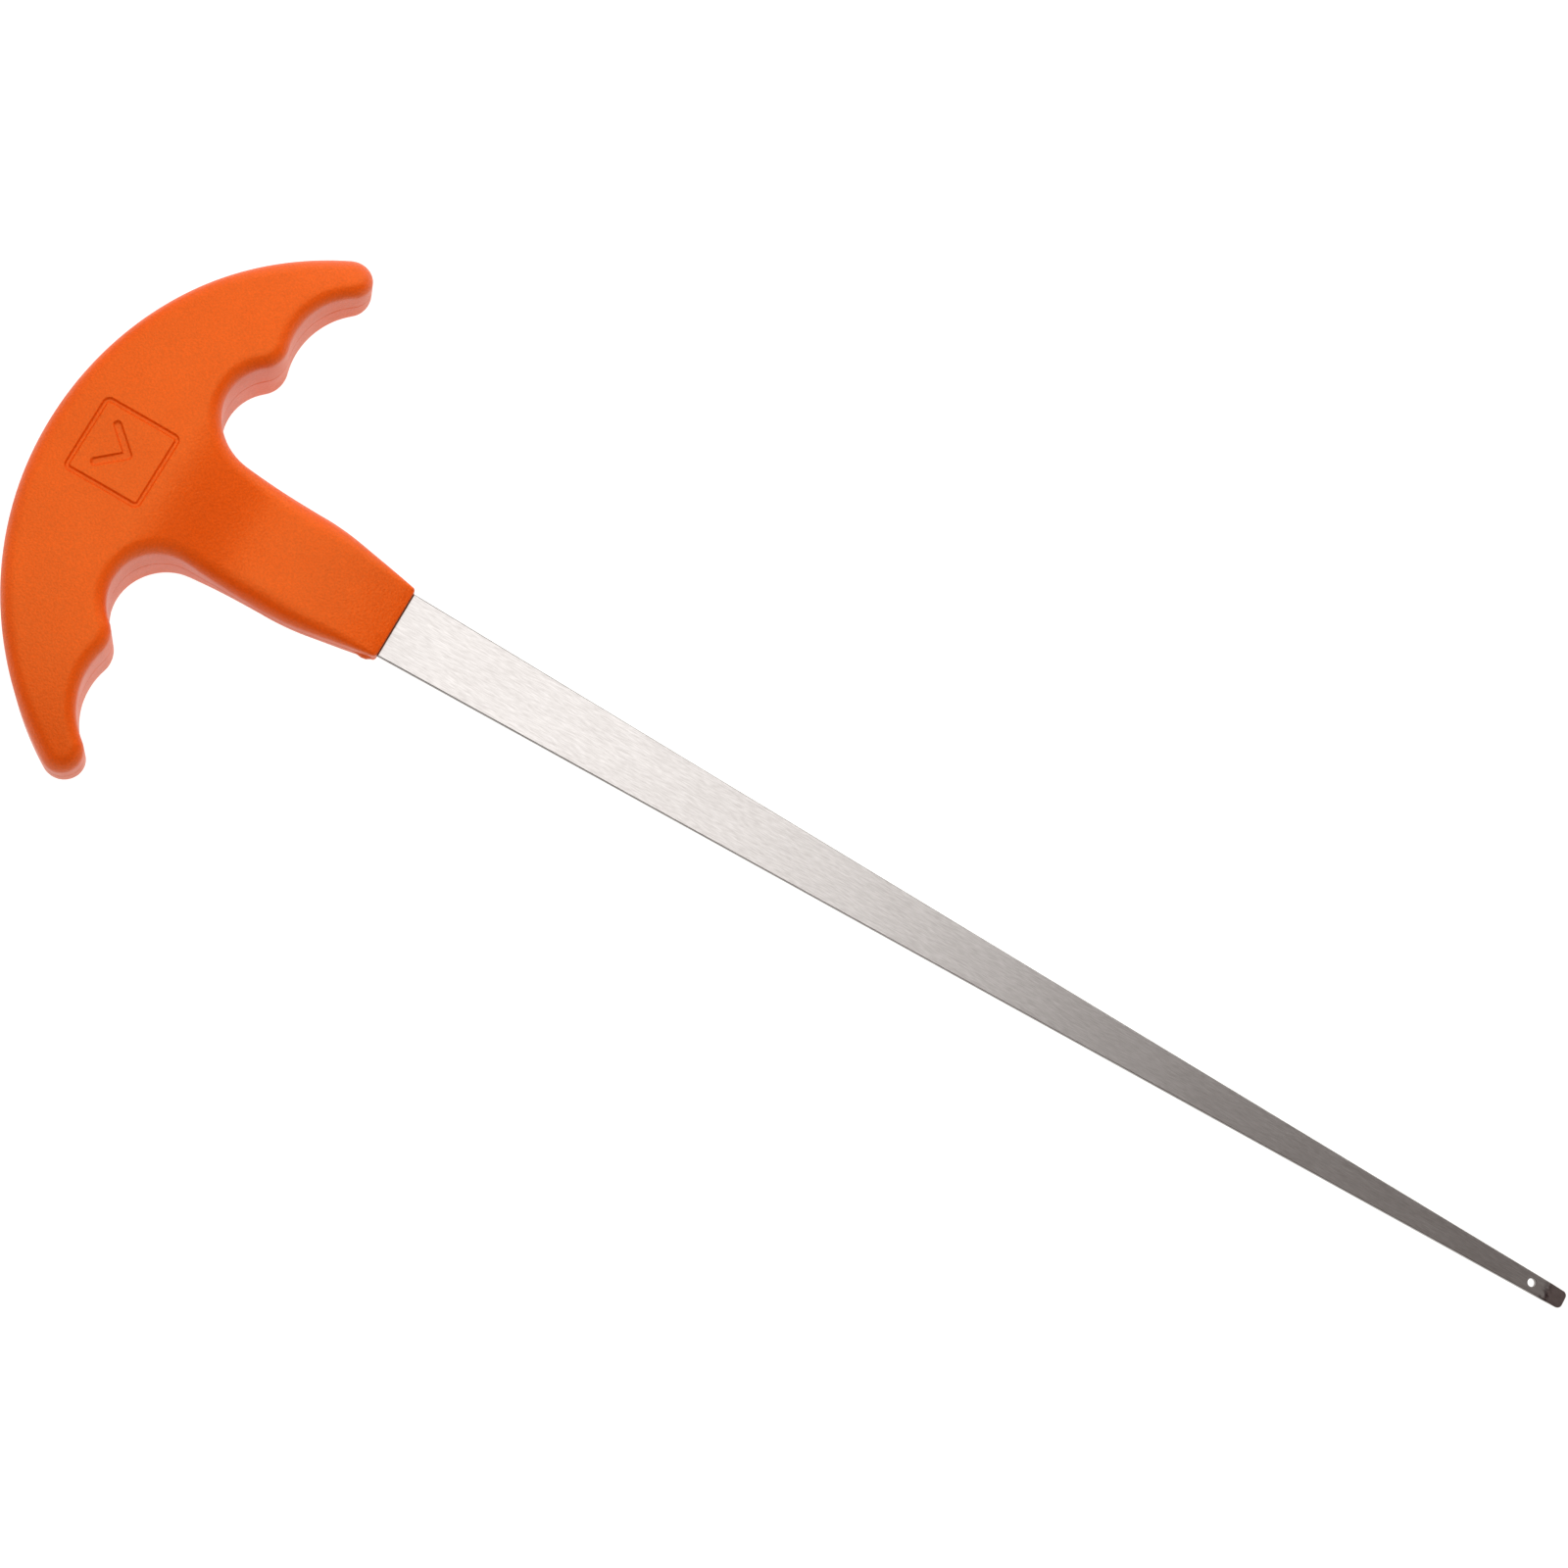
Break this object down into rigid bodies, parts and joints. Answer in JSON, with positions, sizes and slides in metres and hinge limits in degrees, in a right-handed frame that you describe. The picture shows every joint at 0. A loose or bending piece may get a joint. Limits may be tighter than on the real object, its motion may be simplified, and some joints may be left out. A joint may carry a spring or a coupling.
{
  "type": "wire threading awl",
  "caption": "T-handled awl: a moulded grip with finger scallops on a long, flat, tapered steel blade with an eye near its blunt tip, for drawing wire or cord through.",
  "frame": {"origin": "centre of the bounding box in plan, on the surface that the tool rests on", "axes": "+X along the blade towards the tip, +Y across the T, +Z out of the front face"},
  "size_m": [0.3726, 0.1278, 0.0269],
  "materials": {
    "handle": "fine spark-eroded grain",
    "blade": "brushed along its length",
    "screw": "bright zinc plate"
  },
  "bodies": {
    "root": {"front_shell": "handle", "rear_shell": "handle", "blade": "blade", "handle_screw_1": "screw", "handle_screw_2": "screw", "handle_screw_3": "screw", "handle_screw_4": "screw", "handle_screw_5": "screw", "handle_screw_6": "screw"}
  },
  "joints": []
}
